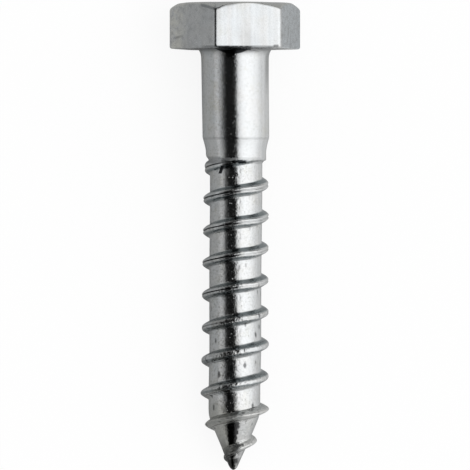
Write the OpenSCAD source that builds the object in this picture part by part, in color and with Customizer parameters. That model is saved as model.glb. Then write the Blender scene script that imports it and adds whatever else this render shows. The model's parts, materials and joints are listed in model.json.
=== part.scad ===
// Hexagon-head lag screw (coach screw) for wood, cold headed and thread rolled
// in one piece. It is built along its own axis, with the bearing face of the
// head at zero and the point at +Z, and is then laid down as it comes to rest:
// on one flat of the head and on one crest of the thread, with the head
// towards +Y. Sizes are millimetres.

/* [Head] */
// Width of the hexagon across its flats
head_across_flats = 16.65; // [15:0.05:19]
// Height of the head above its bearing face
head_height = 6.55; // [4:0.05:10]
// Diameter of the flat circle on top of the head
head_top_diameter = 16; // [14:0.1:16.5]
// Slope of the chamfer round the top of the head
head_chamfer_angle = 30; // [15:1:40]
// Height of the rounding at the lower corners of the hexagon
corner_round = 0.5; // [0.1:0.05:1]
// How far the fillet under the head spreads over the bearing face
fillet_width = 0.65; // [0.2:0.05:1.2]
// How far the fillet under the head runs down the shank
fillet_length = 1.4; // [0.4:0.1:3]

/* [Shank] */
// Diameter of the plain shank
shank_diameter = 9.65; // [9:0.05:12]
// Distance from the bearing face to the end of the plain shank
shank_length = 12.6; // [5:0.1:25]
// Length of the taper from the shank down to the thread blank
taper_length = 2; // [0.8:0.1:4]
// Diameter of the blank that the thread is rolled into
blank_diameter = 8.6; // [8:0.05:8.9]
// Distance from the end of the taper to the middle of the first groove
blank_length = 1.3; // [0.8:0.1:6]

/* [Thread] */
// Length of the screw from the bearing face to the end of its point
screw_length = 60; // [45:1:100]
// Distance from one crest to the next
pitch = 4.55; // [4:0.05:6]
// Diameter of the core between the crests
core_diameter = 7.5; // [6.8:0.05:8]
// Diameter over the crests just below the run-out
upper_crest_diameter = 9.4; // [9:0.05:9.9]
// Diameter over the crests just above the point
lower_crest_diameter = 9.9; // [9.2:0.05:10.4]
// Width of the crest at the top of the thread
upper_crest_width = 0.9; // [0.6:0.05:1.4]
// Width of the crest at the point
lower_crest_width = 0.35; // [0.2:0.05:1]
// Slope of the flanks, from a plane square to the axis
flank_angle = 30; // [25:1:42]
// Depth of the seam that rolling leaves along the upper crests
seam_depth = 0.22; // [0.05:0.01:0.35]
// Turns in which the first groove sinks to its full depth
groove_run_in = 0.3; // [0.1:0.05:1]
// Turns in which the first crest rises to its full height
crest_run_in = 1.4; // [0.5:0.1:3]
// Direction in which the first groove starts, from one corner of the head
start_angle = 282.5; // [0:0.5:360]

/* [Point] */
// Length of the cone at the end of the core
point_length = 7.4; // [5:0.1:14]
// Diameter of the blunt end
tip_diameter = 0.8; // [0.3:0.05:1.5]
// Length over which the thread fades out before the end
thread_fade = 4.5; // [1:0.1:6]

/* [Hidden] */

$fn = 96;
turn_steps = 48;
fillet_steps = 6;
// Points from the seam in the middle of a crest to the foot of its flank, and
// along the whole groove between two crests
crest_steps = 3;
groove_points = 2 * crest_steps + 1;
// Place of the crest's lip, from the seam in its middle to its edge
lip_place = 0.55;
// How far the crest's edge drops below the lip, as a share of the seam's depth
edge_drop = 0.35;
// Share of the thread's length over which the seam closes up
seam_share = 0.75;
// Overlap that welds the threaded part to the end of the shank's taper
weld = 0.6;
// Step by which the threaded part is slimmer than the end of the taper
weld_step = 0.04;
// Least distance of a row from the end of the taper or of the point
row_gap = 0.04;
// Clearance by which a cutting body passes the corners of the hexagon
spare = 1;

head_r = head_across_flats / 2;
corner_r = head_r / cos(30);
head_top_r = head_top_diameter / 2;
shank_r = shank_diameter / 2;
blank_r = blank_diameter / 2;
core_r = core_diameter / 2;
tip_r = tip_diameter / 2;
taper_end = shank_length + taper_length;
thread_from = taper_end + blank_length;
point_from = screw_length - point_length;

function mix(a, b, t) = a + (b - a) * t;
function ramp(t) = min(1, max(0, t));
function smooth(t) = let (u = ramp(t)) u * u * (3 - 2 * u);

// ---- Thread -------------------------------------------------------------
// The threaded part is a height field on a helical grid. Its columns stand at
// equal angles, and a row follows one line of the groove's profile round the
// screw. Rows are numbered down the screw, groove_points of them to a turn.

// How far down the thread a height lies, from 0 at its top to 1 at the point
function thread_share(z) = ramp((z - thread_from) / (point_from - thread_from));
function crest_width(z) = mix(upper_crest_width, lower_crest_width, thread_share(z));
function seam(z) = seam_depth * (1 - smooth(thread_share(z) / seam_share));

// Radius of the core, and of the crest once both have run in
function full_core(z) = z < point_from ? core_r : mix(core_r, tip_r, (z - point_from) / point_length);
function full_crest(z) =
    let (outer_r = mix(upper_crest_diameter, lower_crest_diameter, thread_share(z)) / 2)
    full_core(z) + (outer_r - core_r) * smooth((screw_length - z) / thread_fade);

// The same radii after some turns of the thread, where it starts in the blank
function core_at(z, turns) = mix(blank_r, full_core(z), smooth(turns / groove_run_in));
function crest_at(z, turns) = mix(blank_r, full_crest(z), ramp(turns / crest_run_in));

// Length along the screw of a flank from the crest's edge to the core
function flank_length(z) = (full_crest(z) - full_core(z)) * tan(flank_angle);

// One point of the profile as [radius, height], for a groove whose middle lies
// at height mid after some turns of the thread
function profile_point(i, mid, turns) =
    let (
        above = i <= crest_steps,
        side = above ? 1 : -1,
        crest_z = mid - side * pitch / 2,
        crest_turns = turns - side / 2,
        half = crest_width(crest_z) / 2,
        step = above ? i : groove_points - i,
        in = step == 0 ? 0
            : step == 1 ? lip_place * half
            : step == 2 ? half
            : half + flank_length(crest_z),
        z = crest_z + side * in,
        lip = crest_at(z, crest_turns),
        sunk = seam(z) * ramp(crest_turns / crest_run_in)
    )
    [
        step == 0 ? lip - sunk
            : step == 1 ? lip
            : step == 2 ? lip - sunk * edge_drop
            : core_at(z, turns),
        z
    ];

// Point on one row of one column, as [radius, height]
function grid_point(column, row) =
    let (
        turns = floor(row / groove_points) - 1 + column / turn_steps,
        mid = thread_from + pitch * turns
    )
    profile_point(row % groove_points, mid, turns);

function on_column(column, r, z) =
    let (a = start_angle + 360 * column / turn_steps)
    [r * cos(a), r * sin(a), z];

// Rows of a column that lie between the taper and the end of the point
row_count = groove_points * (ceil((screw_length - thread_from) / pitch) + 2);
function rows_of(column) = [
    for (row = [0 : row_count])
        let (z = grid_point(column, row)[1])
        if (z > taper_end + row_gap && z < screw_length - row_gap) row
];
columns = [for (c = [0 : turn_steps - 1]) rows_of(c)];

// A column's points run from its place on the upper rim, over its rows, to its
// place on the blunt end
column_points = [
    for (c = [0 : turn_steps - 1]) [
        on_column(c, blank_r, taper_end - weld),
        for (row = columns[c])
            let (p = grid_point(c, row))
            on_column(c, p[0], p[1]),
        on_column(c, tip_r, screw_length)
    ]
];
column_starts = [
    for (c = 0, n = 0; c < turn_steps; n = n + len(column_points[c]), c = c + 1) n
];
thread_points = [for (column = column_points) each column];

// Triangles between neighbouring chains of point numbers, fanned from one point
function fan(chain, apex) = [for (i = [1 : 1 : len(chain) - 1]) [chain[i - 1], chain[i], apex]];
function fan_back(chain, apex) = [for (i = [1 : 1 : len(chain) - 1]) [chain[i], chain[i - 1], apex]];
function reverse(list) = [for (i = [len(list) - 1 : -1 : 0]) list[i]];

// Surface between a column and the next one. The last column meets the first
// one a turn further on, so its rows are groove_points lower there.
function strip(column) =
    let (
        next = (column + 1) % turn_steps,
        turn = next == 0 ? groove_points : 0,
        here = columns[column],
        there = [for (row = columns[next]) row - turn],
        top = max(here[0], there[0]),
        end = min(here[len(here) - 1], there[len(there) - 1]),
        a = column_starts[column] + 1 - here[0],
        b = column_starts[next] + 1 - there[0],
        a_rim = column_starts[column],
        b_rim = column_starts[next],
        a_tip = a_rim + len(here) + 1,
        b_tip = b_rim + len(there) + 1,
        a_top = concat([a_rim], [for (row = [here[0] : top]) a + row]),
        b_top = concat([b_rim], [for (row = [there[0] : top]) b + row]),
        a_end = concat([for (row = [end : here[len(here) - 1]]) a + row], [a_tip]),
        b_end = concat([for (row = [end : there[len(there) - 1]]) b + row], [b_tip])
    )
    concat(
        fan(a_top, b_rim),
        fan_back(b_top, a + top),
        [for (row = [top : end - 1]) each [
            [a + row, a + row + 1, b + row],
            [b + row, a + row + 1, b + row + 1]
        ]],
        fan(a_end, b + end),
        fan_back(b_end, a_tip)
    );
rim = [for (c = [0 : turn_steps - 1]) column_starts[c]];
tip = [for (c = [0 : turn_steps - 1]) column_starts[c] + len(columns[c]) + 1];

module thread_and_point() {
    polyhedron(
        points = thread_points,
        faces = concat(
            [for (c = [0 : turn_steps - 1]) each strip(c)],
            [rim, reverse(tip)]
        ),
        convexity = 12
    );
}

// ---- Head and shank -----------------------------------------------------
// Hexagonal prism, turned on top to a chamfered circle and rounded at its
// lower corners
module head() {
    chamfer_slope = tan(head_chamfer_angle);
    outer_r = corner_r + spare;
    third = corner_round / 3;
    intersection() {
        translate([0, 0, -head_height]) cylinder(r = corner_r, h = head_height, $fn = 6);
        rotate_extrude() polygon([
            [0, -head_height],
            [head_top_r, -head_height],
            [outer_r, -head_height + (outer_r - head_top_r) * chamfer_slope],
            [outer_r, -corner_round - 2 * spare],
            [corner_r, -corner_round],
            [corner_r - third, -third],
            [corner_r - corner_round, 0],
            [0, 0]
        ]);
    }
}

// Fillet, plain shank and taper, turned as one profile from inside the head
module shank() {
    fillet_r = shank_r + fillet_width;
    rotate_extrude() polygon([
        [0, -head_height / 2],
        [fillet_r, -head_height / 2],
        for (i = [0 : fillet_steps])
            let (a = 90 * i / fillet_steps)
            [
                fillet_r - fillet_width * sin(a),
                fillet_length * (1 - cos(a))
            ],
        [shank_r, shank_length],
        [blank_r + weld_step, taper_end],
        [0, taper_end]
    ]);
}

// ---- Whole screw, laid down ---------------------------------------------
// Slope of the axis when the lower flat of the head and the lowest crest touch
// the ground together
rest_tilt = atan(min([for (p = thread_points) (head_r + p[1]) / p[2]]));
head_reach = head_height * cos(rest_tilt) + head_top_r * sin(rest_tilt);
tip_reach = screw_length * cos(rest_tilt) + tip_r * sin(rest_tilt);

module lag_screw() {
    color("silver")
        translate([0, (tip_reach - head_reach) / 2, head_r * cos(rest_tilt)])
            rotate([90 + rest_tilt, 0, 0]) {
                head();
                shank();
                thread_and_point();
            }
}

lag_screw();
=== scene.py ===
"""A zinc plated hexagon-head lag screw lying on a pale studio floor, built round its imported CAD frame."""

import json
import math

import bpy
import numpy as np
from bpy.props import FloatProperty, FloatVectorProperty, PointerProperty
from mathutils import Matrix, Vector, noise


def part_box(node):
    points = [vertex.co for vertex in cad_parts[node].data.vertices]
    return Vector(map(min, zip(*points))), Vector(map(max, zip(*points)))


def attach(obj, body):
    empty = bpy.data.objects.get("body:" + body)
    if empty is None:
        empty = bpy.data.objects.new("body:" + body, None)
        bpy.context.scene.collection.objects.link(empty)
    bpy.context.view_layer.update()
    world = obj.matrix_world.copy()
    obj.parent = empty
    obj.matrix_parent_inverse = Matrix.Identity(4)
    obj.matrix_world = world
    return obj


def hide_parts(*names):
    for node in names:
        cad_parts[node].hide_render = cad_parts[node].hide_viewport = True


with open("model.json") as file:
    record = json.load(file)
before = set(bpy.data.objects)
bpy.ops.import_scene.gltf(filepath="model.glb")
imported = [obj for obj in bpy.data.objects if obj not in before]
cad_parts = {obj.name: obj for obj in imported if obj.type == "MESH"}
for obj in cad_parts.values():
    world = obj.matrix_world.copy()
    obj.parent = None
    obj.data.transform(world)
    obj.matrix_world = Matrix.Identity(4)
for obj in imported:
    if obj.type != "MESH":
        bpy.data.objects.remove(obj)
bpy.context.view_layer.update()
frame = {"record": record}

bl_info = {
    "name": "Lag Screw",
    "version": (1, 0, 0),
    "blender": (4, 5, 0),
    "location": "3D View > Sidebar > Lag Screw",
    "description": "Builds a zinc plated hexagon-head lag screw and a pale studio for it",
    "category": "Add Mesh",
}

NODE = "lag_screw"
BODY = "root"
MM = 0.001

# ---- Where the screw lies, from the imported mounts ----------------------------
mounts = {m["name"]: m for m in frame["record"]["mounts"]}
down = Vector(mounts["bearing_face"]["axis"]).normalized()
across = Vector((1, 0, 0))
upward = down.cross(across)
head_top_place = Vector(mounts["head_top"]["pos_m"])
head_height = (Vector(mounts["bearing_face"]["pos_m"]) - head_top_place).dot(down)
neck = head_top_place + down * head_height
low_corner, high_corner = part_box(NODE)
corner_width = high_corner.x - low_corner.x
head_top_width = 16 * MM
tip_width = 0.8 * MM
screw_length = (
    (high_corner.y - low_corner.y - head_top_width / 2 * -down.z - tip_width / 2 * -down.z) / -down.y
    - head_height
)


# ---- Sizes and finishes a user may change ------------------------------------
def length(name, description, default):
    return FloatProperty(name=name, description=description, default=default, unit="LENGTH", precision=6)


def share(name, description, default, top=1.0):
    return FloatProperty(name=name, description=description, default=default, min=0.0, max=top)


def colour(name, description, default):
    return FloatVectorProperty(
        name=name, description=description, default=default, subtype="COLOR", size=3, min=0.0, max=1.0
    )


class LagScrewForm(bpy.types.PropertyGroup):
    """Sizes of the screw."""

    corner_width: length("Across corners", "Width of the hexagon across its corners", corner_width)
    head_height: length("Head height", "From the bearing face to the top of the head", head_height)
    head_top_width: length("Head top", "Diameter of the flat circle on top of the head", head_top_width)
    corner_radius: length("Corner radius", "Rounding of the six upright corners", 0.65 * MM)
    shank_width: length(
        "Shank", "Diameter of the plain shank", 2 * MM * mounts["shank"]["dims"]["r_mm"]
    )
    screw_length: length("Length", "From the bearing face to the end of the point", screw_length)
    pitch: length("Pitch", "From one crest to the next", 4.55 * MM)
    core_width: length("Core", "Diameter of the core between the crests", 7.5 * MM)
    upper_crest: length("Upper crests", "Diameter over the crests below the run-out", 9.4 * MM)
    lower_crest: length("Lower crests", "Diameter over the crests above the point", 9.9 * MM)


class LagScrewFinish(bpy.types.PropertyGroup):
    """Colours and gloss of the zinc plate."""

    zinc: colour("Zinc", "Colour of the clean plate", (0.635, 0.642, 0.645))
    passivate: colour("Passivate", "Olive tint of the passivated film", (0.55, 0.545, 0.49))
    # Also the colour of painted shade and reflection on the head, at the neck and at the run-out
    blue_film_and_shade: colour("Blue film", "Cool tint where the film is thin", (0.595, 0.638, 0.668))
    # Painted shade on the upper flanks and lower crest edges of the thread
    flank_shade_colour: colour("Slate film", "Dull film on the flanks of the thread", (0.2, 0.235, 0.245))
    # Also the colour of painted shade and painted reflection, with the dirt
    soot_and_shade: colour("Soot", "Dirt in the seams and the streaks", (0.008, 0.0095, 0.0115))
    roughness: share("Roughness", "Roughness of the rolled shank and core", 0.13)
    head_roughness: share("Head roughness", "Roughness of the forged head", 0.22)


class LagScrewStage(bpy.types.PropertyGroup):
    """Floor, light and camera."""

    floor: colour("Floor", "Colour of the floor", (0.97, 0.97, 0.97))
    flag: colour("Flag", "Grey that the plate reflects from the floor on its left", (0.46, 0.465, 0.465))
    paling: share("Paling", "How far the floor is paled to white for the camera", 0.88)
    sky_light: share("Sky light", "Level of the even light from all round", 0.68)
    lamp_light: share("Lamp light", "Level that the overhead lamp adds on the floor", 0.32)
    camera_turn: FloatProperty(
        name="Camera turn",
        description="Turn of the camera round the screw from the upper flat of its head",
        default=math.radians(12.5),
        subtype="ANGLE",
    )
    camera_distance: length("Camera distance", "From the lens to the axis of the screw", 1.15)
    view_width: length("View width", "Width of the picture at the axis", 67.0 * MM)
    view_middle: length("View middle", "From the bearing face to the middle of the picture", 26.5 * MM)


# ---- Small helpers for the mesh ----------------------------------------------
def mix(a, b, t):
    return a + (b - a) * t


def ramp(t):
    return np.clip(t, 0.0, 1.0)


def smooth(t):
    u = ramp(t)
    return u * u * (3.0 - 2.0 * u)


def soft_over(value, least, reach):
    """The greater of two values, with the corner between them rounded."""
    return least + reach * np.logaddexp(0.0, (value - least) / reach)


def lumps(points, scale, seed, octaves=2):
    """Smooth noise from about -1 to 1 at each point, with lumps of about 1 / scale."""
    shift = Vector((seed * 7.31, seed * 3.17, seed * 5.53))
    values = [noise.fractal(Vector(p) * scale + shift, 1.0, 2.0, octaves) for p in points.reshape(-1, 3)]
    return np.array(values).reshape(points.shape[:-1])


class Skin:
    """Collects vertices and outward faces of one closed mesh."""

    def __init__(self):
        self.vertices = []
        self.faces = []
        self.count = 0

    def add(self, points):
        """Adds an array of points and returns their numbers in the same layout."""
        flat = np.asarray(points, float).reshape(-1, 3)
        self.vertices.append(flat)
        numbers = np.arange(self.count, self.count + len(flat))
        self.count += len(flat)
        return numbers.reshape(np.shape(points)[:-1])

    def join_rings(self, above, below):
        """Closed quad band from one ring to the next one along the profile."""
        after, below_after = np.roll(above, -1), np.roll(below, -1)
        self.faces += np.stack([above, after, below_after, below], axis=1).tolist()

    def join_grid(self, numbers):
        """Quad bands between all rings of a grid, from the first one down the profile to the last one."""
        for k in range(numbers.shape[1] - 1):
            self.join_rings(numbers[:, k], numbers[:, k + 1])

    def cap(self, centre, ring, outward_last):
        """Fan that closes a ring at its centre."""
        for a, b in zip(ring.tolist(), np.roll(ring, -1).tolist()):
            self.faces.append([centre, b, a] if outward_last else [centre, a, b])

    def knit_rings(self, above, above_angles, below, below_angles):
        """Triangles between two rings of unlike counts, matched by angle."""
        full = 2 * math.pi
        start = above_angles[0]
        below_order = np.argsort((below_angles - start) % full, kind="stable")
        below, below_angles = below[below_order], ((below_angles - start) % full)[below_order]
        above_angles = (above_angles - start) % full
        above_ends = np.append(above_angles, full)
        below_ends = np.append(below_angles, full + below_angles[0])
        i = j = 0
        while i < len(above) or j < len(below):
            a, b = int(above[i % len(above)]), int(below[j % len(below)])
            take_above = j >= len(below) or (
                i < len(above) and above_ends[i + 1] + above_ends[i] <= below_ends[j + 1] + below_ends[j]
            )
            if take_above:
                self.faces.append([a, int(above[(i + 1) % len(above)]), b])
                i += 1
            else:
                self.faces.append([a, int(below[(j + 1) % len(below)]), b])
                j += 1

    def mesh(self, name, placement):
        mesh = bpy.data.meshes.new(name)
        mesh.from_pydata(bowed(np.concatenate(self.vertices)).tolist(), [], self.faces)
        mesh.transform(placement)
        mesh.validate()
        mesh.shade_smooth()
        mesh.set_sharp_from_angle(angle=math.radians(50))
        return mesh


def rounded_path(corners, trims, arc_steps, line_steps):
    """Profile through corner points, each rounded over a trim length before and after it.

    Corners hold one [radius, height] per column, and every column gets the same number of points.
    """
    points = [corners[0]]
    last = corners[0]
    for k in range(1, len(corners)):
        here = corners[k]
        if k < len(corners) - 1:
            back = corners[k - 1] - here
            ahead = corners[k + 1] - here
            trim = trims[k - 1][:, None]
            arc_from = here + back / np.linalg.norm(back, axis=1, keepdims=True) * trim
            arc_to = here + ahead / np.linalg.norm(ahead, axis=1, keepdims=True) * trim
        else:
            arc_from = here
        points += [mix(last, arc_from, t) for t in np.linspace(0, 1, line_steps[k - 1] + 1)[1:]]
        if k < len(corners) - 1:
            for t in np.linspace(0, 1, arc_steps[k - 1] + 1)[1:]:
                points.append(mix(mix(arc_from, here, t), mix(here, arc_to, t), t))
            last = arc_to
    return np.stack(points, axis=1)


def bowed(points):
    """The points after the screw's slight sideways bend."""
    bend = sum(gain * smooth((points[..., 2] - start) / run) for start, run, gain in BOW_STRETCHES)
    shift = BOW * bend[..., None] * np.array([math.sin(FRONT_TURN), -math.cos(FRONT_TURN), 0.0])
    return points + shift


def on_circle(radius, angle, height):
    return np.stack([radius * np.cos(angle), radius * np.sin(angle), height], axis=-1)


# ---- Head ---------------------------------------------------------------------
FRONT_TURN = math.radians(102.5)
CHAMFER_SLOPE = math.tan(math.radians(30))
TOP_ROUNDING = 0.8
EDGE_ROUNDING = 0.36
LOWER_ROUNDING = 0.3
CORNER_DROP = 0.2
# How far the chamfer reaches down further beside one corner of the front face, and between which degrees
CHAMFER_DENT, DENT_FROM, DENT_TO = 0.15, 114.3, 120.0
# How much the lower edge of the head wanders, and the radius where its underside meets the fillet's ring
SCALLOP = 0.13
SEAT_R = 6.2
# Depth of the unevenness that forging leaves in the faces of the head
HEAD_WAVES = 0.012
# Steps of the profile of the head, on the arc at each corner and on each straight stretch
ARC_STEPS, LINE_STEPS = [6, 8, 8], [7, 5, 16, 3]


def head_angles():
    """Angles of the head's columns, close together at the six corners."""
    near = np.array([0.25, 0.5, 0.75, 1.05, 1.5, 2.2])
    flat = np.linspace(-26.8, 26.8, 22)
    half = np.concatenate([[-30], -30 + near, flat, 30 - near[::-1]])
    return np.radians(np.concatenate([60 * k + 30 + half for k in range(6)]))


def hexagon(angles, flat_r, corner_r, rounding):
    """Distance from the axis to the rounded hexagon at each angle."""
    from_flat = (angles % math.radians(60)) - math.radians(30)
    from_corner = math.radians(30) - np.abs(from_flat)
    centre = corner_r - rounding / math.cos(math.radians(30))
    inside = rounding**2 - (centre * np.sin(from_corner)) ** 2
    arc = centre * np.cos(from_corner) + np.sqrt(np.maximum(inside, 0))
    on_flat = flat_r / np.cos(from_flat)
    half_side = flat_r * math.tan(math.radians(30))
    arc_side = rounding * math.tan(math.radians(30))
    at_arc = flat_r * np.abs(np.tan(from_flat)) > half_side - arc_side
    return np.where(at_arc, np.minimum(arc, on_flat), on_flat)


def build_head(skin, form):
    """Chamfered hexagon from the middle of its top to the seat under it. Returns the seat's ring."""
    corner_r = form.corner_width / 2 / MM
    flat_r = corner_r * math.cos(math.radians(30))
    top_r = form.head_top_width / 2 / MM
    tall = form.head_height / MM
    angles = head_angles()
    outer = hexagon(angles, flat_r, corner_r, form.corner_radius / MM)
    ones = np.ones_like(angles)
    out_share = (outer - flat_r) / (corner_r - flat_r)
    degrees = np.degrees(angles)
    dent = smooth((degrees - DENT_FROM) / 1.8) * (1 - smooth((degrees - DENT_TO) / 1.5))
    edge = -tall + (outer - top_r) * CHAMFER_SLOPE + CHAMFER_DENT * dent
    # A little under half of the chamfer's length, so that the roundings at its two edges don't meet
    half_chamfer = 0.48 * (outer - top_r) / math.cos(math.radians(30))
    scallop = lumps(on_circle(ones * flat_r, angles, ones * 0), 1.7, 3, 3)
    path = rounded_path(
        [
            np.stack([ones * 0.8, ones * -tall], axis=1),
            np.stack([ones * top_r, ones * -tall], axis=1),
            np.stack([outer, edge], axis=1),
            np.stack([outer, ones * 0], axis=1),
            np.stack([ones * SEAT_R, ones * 0], axis=1),
        ],
        [
            np.minimum(TOP_ROUNDING, half_chamfer),
            np.minimum(EDGE_ROUNDING, half_chamfer),
            LOWER_ROUNDING + CORNER_DROP * out_share**1.5 + SCALLOP * scallop,
        ],
        ARC_STEPS,
        LINE_STEPS,
    )
    points = on_circle(path[..., 0], angles[:, None], path[..., 1])
    points += forged_waves(points, tall)
    numbers = skin.add(points)
    middle = skin.add(np.array([[0.0, 0.0, -tall]]))
    skin.cap(int(middle[0]), numbers[:, 0], False)
    skin.join_grid(numbers)
    return numbers[:, -1], angles


def forged_waves(points, tall):
    """Shallow unevenness of the forged faces. It only ever sinks them."""
    heights = points[..., 2]
    radius = np.hypot(points[..., 0], points[..., 1])
    faces = smooth((radius - 7.2) / 0.8) * smooth(-heights / 0.6) * smooth((heights + tall) / 0.5)
    sink = HEAD_WAVES * (0.5 + 0.5 * ramp(0.5 + lumps(points, 0.45, 11, 2))) * faces
    inward = -points / np.maximum(radius, 0.001)[..., None]
    inward[..., 2] = 0
    return inward * sink[..., None]


# ---- Shank and thread -----------------------------------------------------------
TURN_STEPS = 192
FILLET_WIDTH, FILLET_LENGTH, FILLET_STEPS = 0.65, 1.4, 10
SHANK_END, TAPER_END, BLANK_R = 12.6, 14.6, 4.3
SHANK_THINNING = 0.07
# Depth of the line turned round the end of the shank, and its profile as shares of that depth and heights
LATHE_MARK = 0.018
LATHE_PROFILE = [(0, -0.3), (0, -0.12), (1, -0.05), (1.2, 0), (0.9, 0.06)]
# Sideways bow of the screw: the most it leans to its right, and how much of that each stretch adds
BOW = 0.16
BOW_STRETCHES = [(0, 18, 1.0), (20, 14, -0.75), (42, 8, -0.8), (50, 4, -0.35), (56, 3, -0.55)]
FIRST_GROOVE, POINT_LENGTH, THREAD_FADE = 15.9, 7.75, 4.5
TIP_R = tip_width / 2 / MM
# Length over which the end of the point is rounded off
DOME = 0.6
# How late the last turns run: the length, the height where it sets in and the stretch it takes
LATE_STRETCHES = [(0.14, 46.5, 3.0), (0.42, 54.5, 3.5)]
LATE_END = 58.0
CORE_THINNING = 0.06
# Softness of the bend from the core into the cone
KNEE = 0.15
START_ANGLE = math.radians(282.5)
UPPER_CREST_HALF, LOWER_CREST_HALF = 0.52, 0.33
# Share by which the crests get thinner at the point, and the height from which they do
POINT_THINNING, THINNING_FROM = 0.5, 46.0
FLANK_SLOPE = math.tan(math.radians(25))
SEAM_DEPTH = 0.2
# How far the first crest spreads up over the run-out
FIRST_LOBE = 0.3
# Height where the blank ends, on the right and on the left of the screw
BLANK_END_RIGHT, BLANK_END_LEFT = 15.72, 15.1
# Depth of the unevenness that rolling leaves in the shank and the thread
SHANK_WAVES, THREAD_WAVES = 0.004, 0.014
# How much narrower the lower half of a crest is, and how far the crests lead upwards but on the right,
# each with the heights where it sets in and where it starts to end
LOWER_TRIM, TRIM_FROM, TRIM_TO = 0.09, 18.0, 39.0
LEAD, LEAD_FROM, LEAD_TO = 0.14, 18.0, 33.0
# Places over half a groove: 0 seam, 1 edge of the crest, 2 foot of the flank, 3 middle of the core
HALF_GROOVE = [0, 0.12, 0.25, 0.45, 0.65, 0.82, 0.94, 1.04, 1.16, 1.32, 1.5, 1.7, 1.88, 2.0]
HALF_GROOVE += [2.1, 2.25, 2.45, 2.7, 3.0]
GROOVE_ROWS = 2 * len(HALF_GROOVE) - 2
ROW_GAP = 0.05


class Thread:
    """Radii of the thread along the screw, in millimetres."""

    def __init__(self, form):
        self.end = form.screw_length / MM
        self.pitch = form.pitch / MM
        self.core_r = form.core_width / 2 / MM
        self.upper_r = form.upper_crest / 2 / MM
        self.lower_r = form.lower_crest / 2 / MM
        self.point_from = self.end - POINT_LENGTH

    def share(self, z):
        return ramp((z - FIRST_GROOVE) / (self.point_from - FIRST_GROOVE))

    def crest_half(self, z):
        half = mix(UPPER_CREST_HALF, LOWER_CREST_HALF, self.share(z))
        return half * (1 - POINT_THINNING * smooth((z - THINNING_FROM) / 5))

    def core(self, z):
        full = self.core_r - CORE_THINNING * self.share(z)
        cone = mix(full, TIP_R, (z - self.point_from) / (self.end - self.point_from))
        return -soft_over(-cone, -full, KNEE)

    def crest(self, z):
        rise = mix(self.upper_r, self.lower_r, self.share(z) ** 1.4) - self.core_r
        # One crest above the cone stands a little taller, and the next one a little lower
        uneven = 0.13 * np.exp(-(((z - 51) / 0.9) ** 2)) - 0.12 * np.exp(-(((z - 53.4) / 0.9) ** 2))
        return self.core(z) + rise * smooth((self.end - z) / THREAD_FADE) * (1 + uneven)

    def flank(self, z):
        return (self.crest(z) - self.core(z)) * FLANK_SLOPE

    def seam(self, z):
        return SEAM_DEPTH * (1 - smooth(self.share(z) / 0.8))


def off_true(thread, z, rightward):
    """Heights after the lead of the upper crests and the delay of the last turns."""
    led = 1 - smooth((rightward - 0.1) / 0.6)
    z = z - LEAD * led * smooth((z - LEAD_FROM) / 3) * (1 - smooth((z - LEAD_TO) / 8))
    late = sum(length * smooth((z - start) / run) for length, start, run in LATE_STRETCHES)
    return z + late * (1 - smooth((z - LATE_END) / (thread.end - LATE_END)))


def thread_field(thread, turns, place, above):
    """Radius and height for places over the groove whose middle is reached after some turns."""
    side = np.where(above, 1.0, -1.0)
    middle = FIRST_GROOVE + thread.pitch * turns
    crest_z = middle - side * thread.pitch / 2
    crest_turns = turns - side / 2
    half = thread.crest_half(crest_z)
    reach = thread.flank(crest_z)
    rolling = on_circle(np.full_like(turns, 5.0), START_ANGLE + 2 * math.pi * turns, crest_z)
    wander = lumps(rolling, 0.55, 21, 2)
    seam_place = 0.04 * wander * half / UPPER_CREST_HALF
    edge = half + 0.05 * lumps(rolling, 1.3, 22, 2) * half
    trim = LOWER_TRIM * smooth((crest_z - TRIM_FROM) / 3) * (1 - smooth((crest_z - TRIM_TO) / 6))
    edge = edge + np.where(above, -trim, FIRST_LOBE * (1 - smooth((crest_turns - 0.4) / 0.4)))
    foot = edge + reach
    crest_span = mix(seam_place * side, edge, ramp(place))
    offset = np.where(
        place <= 1,
        crest_span,
        np.where(place <= 2, mix(edge, foot, place - 1), mix(foot, thread.pitch / 2, place - 2)),
    )
    z = crest_z + side * offset
    rightward = np.sin(FRONT_TURN - START_ANGLE - 2 * math.pi * turns)
    leftward = 0.5 - 0.5 * rightward
    z = off_true(thread, z, rightward)
    rise_turns = ramp((crest_turns + 0.45) / 1.4)
    crest_r = mix(BLANK_R, thread.crest(z), rise_turns)
    core_r = mix(BLANK_R, thread.core(z), smooth((turns + 0.56) / 0.5))
    fade = smooth((thread.end - z) / 1.5)
    slope_drop = np.maximum(offset - edge, -1.0)
    rounding = 0.07 + 0.03 * fade
    drop = (np.logaddexp(0, slope_drop / rounding) * rounding) / FLANK_SLOPE
    lap = ramp(place)
    notch = thread.seam(z) * rise_turns * (1 - smooth(lap / 0.55)) * (0.8 + 0.35 * wander)
    lip_sag = 0.35 * thread.seam(z) * rise_turns * smooth((lap - 0.5) / 0.5)
    ridge = crest_r - drop - notch - lip_sag
    radius = soft_over(ridge, core_r, 0.06)
    blank_end = mix(BLANK_END_RIGHT, BLANK_END_LEFT, leftward) + 0.1 * lumps(rolling, 1.1, 23, 2)
    radius = mix(radius, BLANK_R, 1 - smooth((z - blank_end) / mix(0.42, 0.75, leftward)))
    dome = np.sqrt(1 - ramp((z - thread.end + DOME) / DOME) ** 2)
    return np.minimum(radius, np.maximum(crest_r, BLANK_R)) * dome, z


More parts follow.
